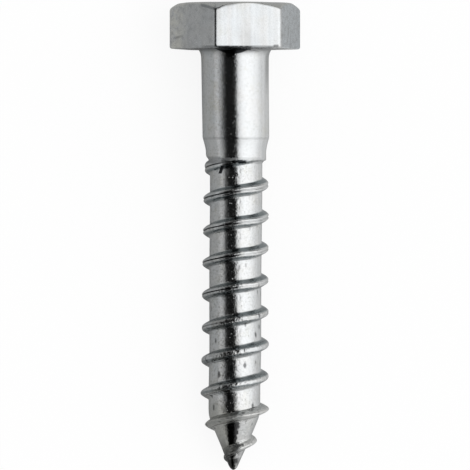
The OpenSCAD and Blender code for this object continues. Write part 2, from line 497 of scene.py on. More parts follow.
def shank_profile(shank_r):
    """Radius and height along the fillet, the shank, the turned line and the taper."""
    bends = np.linspace(0, math.pi / 2, FILLET_STEPS + 1)
    profile = [
        (shank_r + FILLET_WIDTH * (1 - math.sin(b)), FILLET_LENGTH * (1 - math.cos(b))) for b in bends
    ]
    end_r = shank_r - SHANK_THINNING
    heights = np.arange(1.9, SHANK_END - 0.4, 0.55)
    profile += [(mix(shank_r, end_r, z / SHANK_END), z) for z in heights]
    profile += [(end_r - depth * LATHE_MARK, SHANK_END + z) for depth, z in LATHE_PROFILE]
    taper_drop = end_r - BLANK_R
    for t in (0.09, 0.2, 0.34, 0.5, 0.66, 0.79, 0.9, 1.0):
        profile.append((end_r - taper_drop * (1 - (1 - t) ** 1.35), mix(SHANK_END, TAPER_END, t)))
    return profile


def build_shank_and_thread(skin, form):
    """Fillet, shank, taper, thread and point. Returns the first ring, on the bearing face, and its angles."""
    angles = START_ANGLE + 2 * math.pi * np.arange(TURN_STEPS) / TURN_STEPS
    ones = np.ones_like(angles)
    profile = shank_profile(form.shank_width / 2 / MM)
    rings = np.stack([on_circle(ones * r, angles, ones * z) for r, z in profile], axis=1)
    rings = rings + rolled_waves(rings, SHANK_WAVES)
    numbers = skin.add(rings)
    skin.join_grid(numbers)
    build_thread(skin, Thread(form), angles, numbers[:, -1])
    return numbers[:, 0], angles


def build_thread(skin, thread, angles, rim):
    """Helical grid of the thread and the point, knitted to the rim of the taper and closed at its end."""
    places = np.array(HALF_GROOVE + HALF_GROOVE[-2:0:-1])
    above = np.arange(GROOVE_ROWS) < len(HALF_GROOVE)
    turn_count = int((thread.end - FIRST_GROOVE) / thread.pitch) + 4
    rows = np.arange(turn_count * GROOVE_ROWS)
    turns = (rows // GROOVE_ROWS)[None, :] - 1 + (np.arange(TURN_STEPS) / TURN_STEPS)[:, None]
    place = np.broadcast_to(places[rows % GROOVE_ROWS][None, :], turns.shape)
    is_above = np.broadcast_to(above[rows % GROOVE_ROWS][None, :], turns.shape)
    radius, z = thread_field(thread, turns, place, is_above)
    grid = on_circle(radius, np.broadcast_to(angles[:, None], radius.shape), z)
    grid = grid + rolled_waves(grid, THREAD_WAVES)
    inside = (z > TAPER_END + ROW_GAP) & (z < thread.end - ROW_GAP)
    first = inside.argmax(axis=1)
    last = inside.shape[1] - 1 - inside[:, ::-1].argmax(axis=1)
    column_numbers = [skin.add(grid[c, first[c] : last[c] + 1]) for c in range(TURN_STEPS)]
    ones = np.ones_like(angles)
    end_ring = skin.add(on_circle(ones * TIP_R * 0.3, angles, ones * thread.end - ROW_GAP / 2))
    end_middle = skin.add(np.array([[0.0, 0.0, thread.end]]))
    for c in range(TURN_STEPS):
        after = (c + 1) % TURN_STEPS
        turn = GROOVE_ROWS if after == 0 else 0
        knit_columns(
            skin,
            (column_numbers[c], first[c], rim[c], end_ring[c]),
            (column_numbers[after], first[after] - turn, rim[after], end_ring[after]),
        )
    skin.cap(int(end_middle[0]), end_ring, True)


def knit_columns(skin, here, there):
    """Faces between two neighbouring columns of rows, out to their rims."""
    (a, a_first, a_rim, a_end), (b, b_first, b_rim, b_end) = here, there
    a_last, b_last = a_first + len(a) - 1, b_first + len(b) - 1
    top, end = max(a_first, b_first), min(a_last, b_last)
    a_top = [a_rim] + [a[r - a_first] for r in range(a_first, top + 1)]
    b_top = [b_rim] + [b[r - b_first] for r in range(b_first, top + 1)]
    a_tail = [a[r - a_first] for r in range(end, a_last + 1)] + [a_end]
    b_tail = [b[r - b_first] for r in range(end, b_last + 1)] + [b_end]
    faces = [[a_top[i], b_rim, a_top[i + 1]] for i in range(len(a_top) - 1)]
    faces += [[b_top[i], b_top[i + 1], a_top[-1]] for i in range(len(b_top) - 1)]
    faces += [
        [a[r - a_first], b[r - b_first], b[r + 1 - b_first], a[r + 1 - a_first]] for r in range(top, end)
    ]
    faces += [[a_tail[i], b_tail[0], a_tail[i + 1]] for i in range(len(a_tail) - 1)]
    faces += [[b_tail[i], b_tail[i + 1], a_tail[-1]] for i in range(len(b_tail) - 1)]
    skin.faces += [[int(v) for v in face] for face in faces]


def rolled_waves(points, depth):
    """Unevenness of the rolled surface. It only ever sinks it."""
    radius = np.hypot(points[..., 0], points[..., 1])
    wave = 0.6 * lumps(points, 0.9, 31, 2) + 0.4 * lumps(points, 2.2, 32, 1)
    sink = depth * (1 + wave) * smooth(radius / 1.5) * smooth((points[..., 2] - 0.2) / 1.5)
    shift = -points / np.maximum(radius, 0.001)[..., None] * sink[..., None]
    shift[..., 2] = 0
    return shift


def screw_mesh(form):
    skin = Skin()
    seat, seat_angles = build_head(skin, form)
    neck_ring, neck_angles = build_shank_and_thread(skin, form)
    skin.knit_rings(seat, seat_angles, neck_ring, neck_angles)
    turn = Matrix((across, upward, down)).transposed().to_4x4()
    placement = Matrix.Translation(neck) @ turn @ Matrix.Scale(MM, 4)
    mesh = skin.mesh("lag screw", placement)
    places = np.zeros(len(mesh.vertices) * 3, np.float32)
    mesh.vertices.foreach_get("co", places)
    places = places.reshape(-1, 3)
    places[:, 2] = np.maximum(places[:, 2], low_corner.z)
    mesh.vertices.foreach_set("co", places.ravel())
    mesh.update()
    return mesh


# ---- Shader maths ---------------------------------------------------------------
class Value:
    """A socket that carries a number or a vector, so that shader maths reads as an expression."""

    def __init__(self, shader, socket):
        self.shader = shader
        self.socket = socket

    def math(self, operation, *others):
        return self.shader.node("ShaderNodeMath", {"operation": operation}, [self, *others])["Value"]

    def __add__(self, other):
        return self.math("ADD", other)

    __radd__ = __add__

    def __sub__(self, other):
        return self.math("SUBTRACT", other)

    def __rsub__(self, other):
        return self.shader.number("SUBTRACT", other, self)

    def __mul__(self, other):
        return self.math("MULTIPLY", other)

    def __truediv__(self, other):
        return self.math("DIVIDE", other)

    def __neg__(self):
        return self.math("MULTIPLY", -1.0)

    def __or__(self, other):
        """Both masks together."""
        return self.math("MAXIMUM", other)


class Node:
    """A node whose outputs are read by name."""

    def __init__(self, shader, node):
        self.shader = shader
        self.node = node

    def __getitem__(self, name):
        return Value(self.shader, self.node.outputs[name])


class Shader:
    """Builds one node tree."""

    def __init__(self, tree):
        self.tree = tree
        tree.nodes.clear()

    def node(self, kind, settings=None, inputs=None):
        """Adds a node: its settings first, then the values or links of its sockets."""
        node = self.tree.nodes.new(kind)
        for name, value in (settings or {}).items():
            if name == "stops":
                self.set_stops(node.color_ramp, value)
            else:
                setattr(node, name, value)
        pairs = inputs.items() if isinstance(inputs, dict) else enumerate(inputs or [])
        for key, value in pairs:
            socket = node.inputs[key]
            if isinstance(value, Value):
                self.tree.links.new(value.socket, socket)
            elif value is not None:
                socket.default_value = value
        return Node(self, node)

    def set_stops(self, color_ramp, stops):
        """Stops are (place, grey or colour), in order."""
        while len(color_ramp.elements) < len(stops):
            color_ramp.elements.new(1.0)
        for element, (place, tone) in zip(color_ramp.elements, stops):
            element.position = place
            element.color = (*tone, 1) if isinstance(tone, tuple) else (tone, tone, tone, 1)

    def number(self, operation, *values):
        return self.node("ShaderNodeMath", {"operation": operation}, list(values))["Value"]

    def dot(self, vector, direction):
        settings = {"operation": "DOT_PRODUCT"}
        return self.node("ShaderNodeVectorMath", settings, [vector, tuple(direction)])["Value"]

    def vector(self, x, y, z):
        return self.node("ShaderNodeCombineXYZ", None, [x, y, z])["Vector"]

    def blend(self, factor, a, b):
        """Mix of two colours."""
        node = self.node("ShaderNodeMix", {"data_type": "RGBA"}, {"Factor": factor})
        for name, value in (("A_Color", a), ("B_Color", b)):
            socket = next(s for s in node.node.inputs if s.identifier == name)
            if isinstance(value, Value):
                self.tree.links.new(value.socket, socket)
            else:
                socket.default_value = (*value, 1)
        output = next(s for s in node.node.outputs if s.identifier == "Result_Color")
        return Value(self, output)

    def mix_shaders(self, factor, a, b):
        return self.node("ShaderNodeMixShader", None, [factor, a, b])["Shader"]

    def step(self, value, low, high, kind="SMOOTHSTEP"):
        """Smooth step from 0 at low to 1 at high."""
        inputs = {"Value": value, "From Min": low, "From Max": high}
        return self.node("ShaderNodeMapRange", {"interpolation_type": kind}, inputs)["Result"]

    def fall(self, value, low, high):
        """Smooth step from 1 at low to 0 at high."""
        return 1 - self.step(value, low, high)

    def ease(self, value, low, high):
        """Straight ramp from 0 at low to 1 at high."""
        return self.step(value, low, high, "LINEAR")

    def greater(self, value, least):
        return self.number("GREATER_THAN", value, least)

    def noise(self, place, scale, detail=2.0, roughness=0.5):
        inputs = {"Vector": place, "Scale": scale, "Detail": detail, "Roughness": roughness}
        return self.node("ShaderNodeTexNoise", None, inputs)["Fac"]

    def cells(self, place, scale):
        """Distance to the middle of the nearest cell."""
        return self.node("ShaderNodeTexVoronoi", None, {"Vector": place, "Scale": scale})["Distance"]

    def window(self, value, middle, half, soft):
        """1 within half of the middle, 0 beyond it."""
        return self.fall((value - middle).math("ABSOLUTE"), half, half + soft)


# ---- Zinc plate -------------------------------------------------------------------
# Lengths in the shader are millimetres in the screw's own frame: z from the bearing face towards the point,
# side from the axis to the right of the screw's front, and radius from the axis.
FRONT_FACE_MIDDLE, FRONT_FACE_HALF = 1.8, 4.62
HEAD_FLATS_FROM = 8.0
THREAD_FROM = 15.8
LOW_THREAD_FROM, LOW_THREAD_TO = 27.0, 40.0
LAST_TURNS_FROM, LAST_TURNS_TO = 49.0, 52.0


def shaded(tint, share):
    return tuple(level * share for level in tint)


class Spot:
    """Where a point of the plate lies on the screw, as lengths, masks from 0 to 1 and shared noise."""

    def __init__(self, s, form):
        self.thread = Thread(form)
        place = s.node("ShaderNodeTexCoord")["Object"]
        self.x = s.dot(place, across / MM)
        self.y = s.dot(place, upward / MM) - neck.dot(upward) / MM
        self.z = s.dot(place, down / MM) - neck.dot(down) / MM
        self.local = s.vector(self.x, self.y, self.z)
        self.radius = (self.x * self.x + self.y * self.y).math("SQRT")
        self.turn = s.number("ARCTAN2", self.y, self.x) / (2 * math.pi) - START_ANGLE / (2 * math.pi)
        self.set_front(s)
        self.set_head(s, form)
        self.set_thread(s)
        self.clouds = s.noise(self.local, 0.55, 3.0, 0.6)
        self.fine = s.noise(self.local, 3.5, 4.0, 0.6)
        self.ragged = s.noise(self.local, 2.6, 3.0, 0.6)
        self.streaks = s.noise(s.vector(self.x, self.y, self.z * 0.03), 1.9)

    def set_front(self, s):
        """Sides of the screw, seen from its front."""
        from_front = FRONT_TURN - self.turn * (2 * math.pi) - START_ANGLE
        self.rightward = from_front.math("SINE")
        self.side = self.rightward * self.radius
        self.frontward = s.step(from_front.math("COSINE"), 0.0, 0.3)
        self.on_left = s.fall(self.rightward, -0.25, 0.25)

    def in_front(self, s, middle, half, soft):
        """1 on the front of the screw and within half of a place to the right of its axis, 0 beyond it."""
        return s.window(self.side, middle, half, soft) * self.frontward

    def set_head(self, s, form):
        """The head, its upright flats, and how far a point lies below the edge of the chamfer."""
        self.on_head = s.fall(self.z, -0.05, 0.05)
        self.on_flats = s.step(self.radius, HEAD_FLATS_FROM, HEAD_FLATS_FROM + 0.25) * self.on_head
        front_face = s.window(self.side, FRONT_FACE_MIDDLE, FRONT_FACE_HALF, 0.08)
        self.on_front = front_face * self.frontward * self.on_flats
        # The head but its front face: its colour there carries painted shade, and it is a little less
        # metallic
        self.head_but_front = self.on_head * (1 - self.on_front)
        top_r = form.head_top_width / 2 / MM
        self.below_chamfer = self.z + form.head_height / MM - (self.radius - top_r) * CHAMFER_SLOPE

    def set_thread(self, s):
        """Stretches of the thread, and the crest and the edges of its flanks."""
        z = self.z
        lead = s.fall(self.rightward, 0.1, 0.7) * LEAD
        lead = lead * s.step(z, LEAD_FROM, LEAD_FROM + 3) * s.fall(z, LEAD_TO, LEAD_TO + 8)
        # 0 in the middle of the groove, a half at the crest
        self.phase = ((z + lead - FIRST_GROOVE) / self.thread.pitch - self.turn).math("FRACT")
        self.past_start = z - FIRST_GROOVE
        self.past_knee = z - self.thread.point_from
        self.on_thread = s.step(z, THREAD_FROM, THREAD_FROM + 0.6)
        self.low_thread = s.step(z, LOW_THREAD_FROM, LOW_THREAD_TO)
        self.last_turns = s.step(z, LAST_TURNS_FROM, LAST_TURNS_TO)
        self.crest = s.window(self.phase, 0.5, 0.13, 0.02) * self.on_thread
        from_crest = (self.phase - 0.5).math("ABSOLUTE") * self.thread.pitch
        along_thread = s.ease(z, FIRST_GROOVE, self.thread.point_from)
        crest_half = UPPER_CREST_HALF - along_thread * (UPPER_CREST_HALF - LOWER_CREST_HALF)
        crest_half = crest_half * (1 - s.step(z, THINNING_FROM, THINNING_FROM + 5) * POINT_THINNING)
        past_edge = from_crest - crest_half
        upper_flank = s.step(past_edge, -0.06, 0.08) * s.fall(past_edge, 0.36, 0.56)
        self.upper_flank = upper_flank * s.greater(0.5, self.phase)
        self.lower_edge = s.window(past_edge + LOWER_TRIM, 0.16, 0.1, 0.1) * s.greater(self.phase, 0.5)


def plate_film_and_light(s, at, finish):
    """Clean zinc under its passivated film, with the head's drawn streaks and blooms, and cool patches; the
    film and the cool patches are laid heavier on the left as painted shade, and the head's right face gets a
    painted blue reflection.
    """
    film = s.step(at.clouds, 0.45, 0.75) * s.step(at.fine, 0.3, 0.6)
    # The film is laid heavier on the left of the screw, as painted shade
    tone = s.blend(film * (0.5 + at.on_left * 0.15), tuple(finish.zinc), tuple(finish.passivate))
    drawn = s.step(at.streaks, 0.36, 0.64) * at.on_flats
    tone = s.blend(drawn * 0.36, tone, shaded(finish.zinc, 0.78))
    bloom = s.step(s.noise(at.local, 0.2), 0.45, 0.62) * at.on_head
    tone = s.blend(bloom * 0.25, tone, shaded(finish.zinc, 0.55))
    # Cool patches; their extra on the left of the screw is a painted shade tint
    cool_and_shade = s.step(s.noise(at.local, 0.33), 0.42, 0.6) * (0.2 + at.on_left * 0.12)
    # Painted reflection: the head's right face takes the blue tint
    right_face_reflection = s.step(at.side, 6.4, 6.9) * at.on_flats
    return s.blend(cool_and_shade | right_face_reflection, tone, tuple(finish.blue_film_and_shade))


def head_film_and_light(s, at, finish, tone):
    """Painted shade on every face of the head but the front one, darkest on the left; blotches; a painted
    highlight with some wear on the left edge of the left flat; a blue tint on the front face; a tinted
    chamfer with a painted dark line under its edge by the front left corner; painted shade in the middle of
    the left flat.
    """
    # Painted shade on every face of the head but the front one, more on the left
    tone = s.blend(at.head_but_front * (0.29 + at.on_left * 0.2), tone, shaded(finish.zinc, 0.55))
    # Painted highlight with some wear: the far left edge of the left flat is lighter and warmer, in patches
    worn_and_lit_edge = at.in_front(s, -8.6, 0.6, 1.6) * at.on_flats
    worn_and_lit_edge = worn_and_lit_edge * s.step(s.noise(at.local, 0.9, 3.0), 0.35, 0.6)
    tone = s.blend(worn_and_lit_edge * 0.5, tone, shaded(finish.passivate, 1.15))
    band_tint = s.step(s.noise(s.vector(at.x, at.y, 0.0), 0.7, 1.0), 0.4, 0.6) * at.on_front
    tone = s.blend(band_tint * 0.3, tone, shaded(finish.blue_film_and_shade, 1.1))
    blotches = s.step(s.noise(at.local, 1.3, 4.0, 0.65), 0.46, 0.66) * at.head_but_front
    tone = s.blend(blotches * 0.62, tone, shaded(finish.zinc, 0.5))
    chamfer = at.on_flats * s.fall(at.below_chamfer, 0.04, 0.14)
    tone = s.blend(chamfer * 0.4, tone, shaded(finish.passivate, 1.25))
    # Painted shade: a dark line under the chamfer's edge by the front left corner
    chamfer_line = s.window(at.below_chamfer, 0.2, 0.1, 0.12) * at.in_front(s, -3.8, 0.9, 0.3)
    tone = s.blend(chamfer_line * at.on_flats * 0.75, tone, shaded(finish.blue_film_and_shade, 0.25))
    shade = at.in_front(s, -5.0, 1.4, 2.2) * at.on_flats
    return s.blend(shade * 0.22, tone, shaded(finish.blue_film_and_shade, 0.5))


def thread_film_and_light(s, at, finish, tone):
    """Stains and flecks, heavier on the left as painted shade; painted shade on the flanks, on the crests
    left of the front and at the edge of the mirrored dark band; an olive tint on the last turns, stronger on
    the left; a painted highlight on their crests on the right.
    """
    mottle = s.step(s.noise(at.local, 2.4, 4.0, 0.7), 0.45, 0.75)
    # The extra on the left of the shank and thread is painted shade
    stain_and_shade = 0.15 + at.on_thread * 0.15 + (1 - at.on_head) * at.on_left * (0.25 + at.low_thread * 0.32)
    tone = s.blend(mottle * stain_and_shade, tone, shaded(finish.passivate, 0.45))
    flecks = s.step(s.noise(at.local, 5.5, 3.0, 0.7), 0.5, 0.7) * at.on_thread
    # More flecks on the left of the screw, as painted shade
    tone = s.blend(flecks * (0.13 + at.on_left * 0.27), tone, shaded(finish.blue_film_and_shade, 0.35))
    # Painted shade: a darker stripe on the front just left of the axis, at the edge of the dark band that the
    # plate mirrors
    band_edge_shade = at.in_front(s, -1.15, 0.12, 0.3)
    band_edge_shade = band_edge_shade * at.on_thread * s.fall(at.z, 47.0, 50.0)
    tone = s.blend(band_edge_shade * 0.5, tone, shaded(finish.zinc, 0.2))
    # Painted shade: the flanks facing the head and the lower edges of the crests are darker all round
    flank_shade = (at.upper_flank * 0.9 + at.lower_edge * 0.7) * (1 - at.last_turns * 0.35)
    tone = s.blend(flank_shade * at.on_thread, tone, tuple(finish.flank_shade_colour))
    # Painted shade: darker crests and lower edges left of the front, on the lower thread
    left_crest_shade = at.in_front(s, -2.4, 0.7, 0.5) * (at.crest + at.lower_edge)
    left_crest_shade = left_crest_shade * at.low_thread * (1 - at.last_turns)
    tone = s.blend(left_crest_shade * 0.3, tone, shaded(finish.passivate, 0.3))
    tone = s.blend(at.last_turns * (0.15 + at.on_left * 0.4), tone, shaded(finish.passivate, 0.8))
    # Painted highlight on the crests of the last turns, on the right of the screw
    lip = at.crest * at.last_turns * s.step(at.rightward, 0.05, 0.4)
    return s.blend(lip * 0.6, tone, (0.8, 0.8, 0.78))


def neck_shade(s, at, finish, tone):
    """Painted shade along the lower edge of the head and in the fillet."""
    edge = s.window(at.z, -0.1, 0.18, 0.12) * at.in_front(s, 0.4, 4.4, 1.2) * 0.6
    fillet = s.fall(at.z, 0.0, 1.3) * (1 - at.on_head) * 0.5
    return s.blend(edge | fillet, tone, shaded(finish.blue_film_and_shade, 0.2))


def run_out_marks_and_shade(s, at, finish, tone):
    """Painted shade on the ledge and in the root where the taper meets the first crest, and the ring that
    ends the shank, with a painted dark tick in front.
    """
    # Painted shade: a grey band on the ledge in front
    ledge = s.window(at.past_start, -0.15, 0.15, 0.25) * at.in_front(s, 0.6, 2.6, 0.8)
    tone = s.blend(ledge * 0.25, tone, shaded(finish.blue_film_and_shade, 0.3))
    # Painted shade in the root, left of the front
    root = s.window(at.past_start, -0.05, 0.35, 0.3) * at.in_front(s, -3.2, 0.9, 0.6)
    tone = s.blend(root * 0.45, tone, shaded(finish.blue_film_and_shade, 0.3))
    ring = s.window(at.z, SHANK_END + 0.15, 0.08, 0.2)
    # Painted shade: a dark tick on the ring in front; the ring's own dark line goes all round
    tick = at.in_front(s, 0.1, 0.2, 0.3) * 0.5
    tone = s.blend(ring * (0.16 + tick), tone, tuple(finish.soot_and_shade))
    return s.blend(run_out_burr(s, at) * 0.5, tone, shaded(finish.zinc, 0.2))


def run_out_burr(s, at):
    """Rough lip in front, where the first groove breaks the blank."""
    lip = s.window(at.past_start + (at.ragged - 0.5) * 0.8, -0.18, 0.1, 0.2)
    return lip * at.in_front(s, -0.8, 0.7, 0.7)


# Soot and dirt, with painted shade and painted reflection, each as a mask from 0 to 1
def seam_soot_and_light(s, at):
    """Dirt in the rolling seam, which thins out towards the point; it is painted lighter on the right of the
    screw, where the light falls.
    """
    line = s.window(at.phase, 0.5, 0.01, 0.022) * s.fall(at.z, 34.0, 46.0)
    # Painted light: the dirt fades on the right of the screw
    line = line * s.step(at.fine, 0.2, 0.45) * (1 - s.step(at.rightward, -0.05, 0.3) * 0.8)
    return line * at.on_thread


def start_shade_and_nick(s, at):
    """Painted shade along a ragged line where the thread leaves the blank, a painted dark patch that carries
    the mirrored dark band onto it, and one slanting nick.
    """
    wander = at.ragged - 0.5
    # Painted shade along the step, darkest at the front right
    line = s.window(at.past_start + wander * 0.55, 0.2, 0.17, 0.14)
    line = line * (0.25 + s.window(at.side, 0.55, 0.85, 0.4) * 0.75)
    nick = s.window(at.side + 1.77 + (at.past_start - 0.8) * 0.35, 0.0, 0.2, 0.07)
    nick = nick * s.window(at.past_start, 1.3, 0.5, 0.12) * 0.97
    # Painted reflection: a dark patch that carries on the dark band the plate mirrors
    patch = s.window(at.side + wander * 1.5, -1.1, 0.5, 0.5) * s.window(at.past_start, 0.65, 0.4, 0.3)
    return (line | nick | patch * 0.6) * at.frontward


def neck_shadow_and_dirt(s, at):
    """Painted shadow in the fillet and along the lower edge of the head, deepest at the front, over a little
    dirt in the fillet all round.
    """
    off_middle = at.rightward + 0.06
    depth = 0.78 - off_middle * off_middle * 3.2
    # Painted shadow: front, tongue and edge under the head's front; around is the dirt all round the fillet
    front = s.fall(at.z - depth, -0.08, 0.1) * at.frontward * 0.95
    tongue = at.in_front(s, -0.65, 0.5, 0.2) * s.fall(at.z, 1.0, 1.6) * 0.85
    around = s.fall(at.z, 0.1, 0.5) * 0.35
    fillet = (front | tongue | around) * s.step(at.z, -0.1, -0.02) * s.fall(at.radius, 5.9, 6.6)
    scallop = (s.noise(s.vector(at.side, at.radius, 0.0), 1.3, 1.0) - 0.5) * 0.5
    edge = s.window(at.z + scallop, 0.0, 0.22, 0.08) * at.in_front(s, -0.1, 2.1, 0.6)
    return fillet | edge * 0.9


def point_shade_and_grime(s, at):
    """Painted reflection of the dark band down the front of the cone and round the tip, grime on the point
    that is heavier on the left as painted shade, and the bare stripes that wind through both.
    """
    stripe = s.window(((at.z - 57.0) / 1.2 - at.turn).math("FRACT"), 0.5, 0.04, 0.16)
    stripe = stripe * s.step(at.side, -1.0, -0.4) * 0.6
    stripe = stripe * s.step(at.z, 56.8, 57.4) * s.fall(at.z, 58.4, 59.4)
    # Painted reflection: the dark band that the plate mirrors, carried down the front of the cone and tip
    down_band = at.past_knee - 1.25
    wander = at.ragged - 0.5
    off_band = at.side + 0.3 + down_band * 0.03 + wander * 1.1
    band = s.window(off_band, 0.0, 0.8 - down_band * 0.12, 0.12)
    band = band * s.step(down_band, -0.6, -0.3) * s.fall(down_band, 2.8, 3.3)
    tip = s.window(at.side + 0.5 + wander * 0.5, 0.0, 0.65 - (down_band - 4.0) * 0.2, 0.15)
    tip = tip * s.step(down_band, 3.8, 4.3)
    cone = (band | tip) * (0.98 - at.ragged * 0.2)
    cone = cone * at.frontward * (1 - s.window(at.phase, 0.5, 0.15, 0.03))
    # Grime on the point, heavier on the left as painted shade
    patches = s.noise(s.vector(at.x, at.y, at.z * 0.3), 1.6, 3.0) + at.on_left * 0.15
    grime_and_shade = s.step(at.z, 54.5, 59.0) * s.step(patches, 0.4, 0.6)
    grime_and_shade = grime_and_shade * (0.9 - s.step(at.side, 0.2, 0.7) * 0.6)
    return (cone | grime_and_shade) * (1 - stripe)


def small_soot(s, at):
    """Spots on the lower core, and two small marks on the head's flats."""
    spots = s.cells(s.vector(at.x, at.y, at.z * 0.5), 0.85) + (at.ragged - 0.5) * 0.3
    spots = spots - s.window(at.z, 48.5, 1.6, 1.0) * at.on_left * 0.07
    spots = s.fall(spots, 0.11, 0.25) * (0.25 + at.low_thread * 0.45) * s.step(at.z, 20.0, 24.0)
    smudge = s.window(at.z + (at.side + 8 - at.ragged) * 0.2, -1.75, 0.06, 0.2)
    smudge = smudge * at.in_front(s, -8.1, 0.4, 0.4) * at.on_flats
    nick = s.window(at.side + (at.ragged - 0.5) * 0.6, 5.8, 0.3, 0.15) * s.window(at.z, -0.32, 0.1, 0.1)
    return spots | smudge * 0.28 | nick * at.on_front * 0.6


def plate_gloss(s, at, finish):
    """Roughness of the rolled parts, the duller head and the worn crests."""
    gloss = finish.roughness + s.step(at.fine, 0.4, 0.8) * 0.1
    gloss = gloss + at.on_head * (finish.head_roughness - finish.roughness)
    gloss = gloss + at.crest * (0.06 + at.low_thread * 0.02 + at.last_turns * 0.15)
    return gloss + run_out_burr(s, at) * 0.4


def rolled_swirl(s, at):
    """Marks that the rolling die leaves on the core once in every turn, as heights in millimetres."""
    arc = at.rightward * at.thread.core_r
    vary = s.noise(s.vector(0.0, 0.0, at.z * 0.25), 1.0, 1.0)
    down_arc = arc - 2.1
    down_pitch = (at.phase - 0.02) * at.thread.pitch
    away = (down_arc * down_arc + down_pitch * down_pitch).math("SQRT")
    ring = s.window(away, 0.5, 0.03, 0.12) * s.fall(down_arc, 0.0, 0.25)
    drop_arc = (arc - 0.35 - vary * 0.6) * 1.8
    drop_pitch = (at.phase - 0.92 + vary * 0.12) * at.thread.pitch
    drop = s.fall((drop_arc * drop_arc + drop_pitch * drop_pitch).math("SQRT"), 0.0, 0.55)
    return (ring * -0.02 * vary - drop * 0.035 * s.step(vary, 0.35, 0.6)) * at.on_thread


def plate_relief(s, at):
    """Heights in millimetres: waves, streaks, grain, rolling marks and pits too fine for the mesh."""
    waves = s.noise(at.local, 1.3, 3.0, 0.6) * (at.on_thread * 0.026 + 0.014) * (1 - at.on_head)
    streaks = at.streaks * 0.006 * at.on_flats
    grain = s.noise(at.local, 9.0) * (0.0006 + at.on_head * 0.001)
    fine_depth = 0.011 - at.on_head * 0.009 + at.on_thread * 0.006 + at.low_thread * 0.005
    fine = at.fine * fine_depth * (1 - at.last_turns * 0.7)
    dents = s.step(at.clouds, 0.48, 0.6) * (0.006 + at.on_thread * 0.014)
    pit_depth = (0.007 + at.on_thread * 0.007 + dents) * (1 - at.on_head * 0.9)
    pits = s.fall(s.cells(at.local, 2.2), 0.05, 0.22) * pit_depth
    torn = s.noise(at.local, 1.9, 1.5) * at.crest * at.low_thread * 0.16
    turned = s.noise(s.vector(at.x * 0.3, at.y * 0.3, at.z * 3.0), 1.3) * s.step(at.z, 51.5, 53.0) * 0.01
    return waves + streaks + grain + fine + rolled_swirl(s, at) - pits + torn + turned


def zinc_material(form, finish):
    """Bright zinc plate: tinted film, soot in the seams, forging streaks, rolling marks, and painted shade,
    highlights and reflections.
    """
    material = bpy.data.materials.new("zinc_plate")
    material.use_nodes = True
    s = Shader(material.node_tree)
    at = Spot(s, form)
    tone = plate_film_and_light(s, at, finish)
    tone = head_film_and_light(s, at, finish, tone)
    tone = thread_film_and_light(s, at, finish, tone)
    tone = neck_shade(s, at, finish, tone)
    # Dirt, painted shade and painted reflection, all laid in the soot colour
    soot_and_shade = seam_soot_and_light(s, at)
    for dirt_and_shade in (start_shade_and_nick, neck_shadow_and_dirt, point_shade_and_grime, small_soot):
        soot_and_shade = soot_and_shade | dirt_and_shade(s, at)
    tone = s.blend(soot_and_shade, tone, tuple(finish.soot_and_shade))
    tone = run_out_marks_and_shade(s, at, finish, tone)
    bump = {"Strength": 1.0, "Distance": MM, "Height": plate_relief(s, at)}
    plate = {
        "Base Color": tone,
        "Metallic": 1 - at.head_but_front * 0.3,
        "Roughness": plate_gloss(s, at, finish),
        "Normal": s.node("ShaderNodeBump", None, bump)["Normal"],
    }
    shine = s.node("ShaderNodeBsdfPrincipled", None, plate)
    s.node("ShaderNodeOutputMaterial", None, {"Surface": shine["BSDF"]})
    return material


# ---- Stage ------------------------------------------------------------------------
def view_axes(stage):
    """Direction to the camera, the picture's right and its up."""
    turn = stage.camera_turn
    to_camera = upward * math.cos(turn) - across * math.sin(turn)
    right = across * math.cos(turn) + upward * math.sin(turn)
    return to_camera, right, -down


FLOOR_HALF = 3.2


def build_floor(stage):
    """Large plain floor. The plate sees a grey flag on it to the left and beyond the head."""
    mesh = bpy.data.meshes.new("floor")
    corners = [(-1, -1), (1, -1), (1, 1), (-1, 1)]
    places = [(x * FLOOR_HALF, y * FLOOR_HALF, low_corner.z) for x, y in corners]
    mesh.from_pydata(places, [], [(0, 1, 2, 3)])
    floor = bpy.data.objects.new("floor", mesh)
    bpy.context.scene.collection.objects.link(floor)
    material = bpy.data.materials.new("floor_paint")
    material.use_nodes = True
    s = Shader(material.node_tree)
    place = s.node("ShaderNodeTexCoord")["Object"]
    parts = s.node("ShaderNodeSeparateXYZ", None, [place])
    x, past_head = parts["X"], parts["Y"] - high_corner.y
    left = s.fall(x, 2 * MM, 24 * MM)
    beyond = s.step(past_head, 1 * MM, 6 * MM)
    by_head = s.step(past_head, -17.5 * MM, -7.5 * MM) * s.fall(x, 20 * MM, 40 * MM)
    near_right = s.step(x, 2 * MM, 10 * MM) * s.fall(x, 30 * MM, 60 * MM) * 0.35
    path = s.node("ShaderNodeLightPath")
    plain = s.node("ShaderNodeBsdfDiffuse", None, {"Color": (*stage.floor, 1)})
    flag = s.node("ShaderNodeBsdfDiffuse", None, {"Color": (*stage.flag, 1)})
    white = s.node("ShaderNodeEmission", None, {"Color": (1, 1, 1, 1), "Strength": 1.0})
    flagged = (left | beyond | by_head | near_right) * path["Is Glossy Ray"]
    both = s.mix_shaders(flagged, plain["BSDF"], flag["BSDF"])
    seen = s.mix_shaders(path["Is Camera Ray"] * stage.paling, both, white["Emission"])
    s.node("ShaderNodeOutputMaterial", None, {"Surface": seen})
    mesh.materials.append(material)


# Levels that the plate reflects, by the angle round the screw from the camera: degrees and brightness
STUDIO = [
    (-180, 0.45),
    (-84, 0.46),
    (-66, 0.68),
    (-54, 0.44),
    (-42, 0.12),
    (-34, 0.008),
    (2, 0.008),
    (7, 0.72),
    (11, 1.1),
    (27, 1.5),
    (42, 1.56),
    (60, 1.5),
    (78, 1.33),
    (98, 0.98),
    (180, 0.8),
]
BRIGHTEST = 1.6


